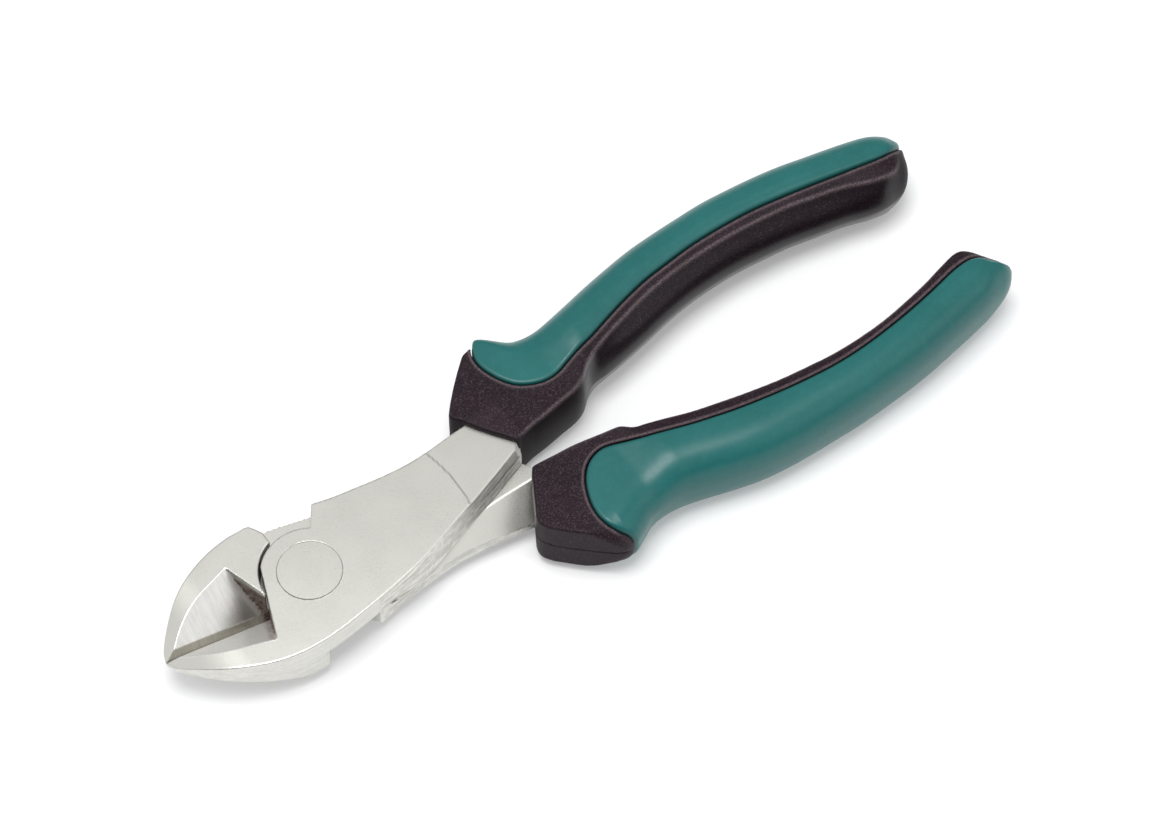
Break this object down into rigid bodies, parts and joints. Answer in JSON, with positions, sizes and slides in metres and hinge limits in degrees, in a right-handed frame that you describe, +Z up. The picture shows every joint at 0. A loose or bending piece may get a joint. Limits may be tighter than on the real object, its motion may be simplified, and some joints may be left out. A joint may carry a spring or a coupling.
{
  "type": "diagonal cutting pliers",
  "caption": "Diagonal cutting pliers: two forged lap-joint halves turning on a flush rivet, bevelled blades at the nose, and two-component grips with finger guards.",
  "frame": {"origin": "the joint axis where it leaves the joint's lower flat face", "axes": "+X along the tool from the joint to the handle ends, +Z up along the joint axis, +Y to the side of the upper lever's handle"},
  "size_m": [0.1822, 0.056, 0.016],
  "materials": {
    "forged_steel": "satin nickel over fine grinding",
    "rivet_steel": "ground flush and satin",
    "hard_black": "fine spark-eroded texture, satin on the inner side",
    "soft_green": "matte soft-touch"
  },
  "bodies": {
    "lower_lever": {"lower_half": "forged_steel", "joint_rivet": "rivet_steel", "lower_grip_core": "hard_black", "lower_grip_cover": "soft_green"},
    "upper_lever": {"upper_half": "forged_steel", "upper_grip_core": "hard_black", "upper_grip_cover": "soft_green"}
  },
  "joints": [
    {"name": "lap_joint", "type": "hinge", "parent": "lower_lever", "child": "upper_lever", "pos_m": [0, 0, 0.0052], "axis": [0, 0, 1], "range_deg": [0, 40]}
  ]
}
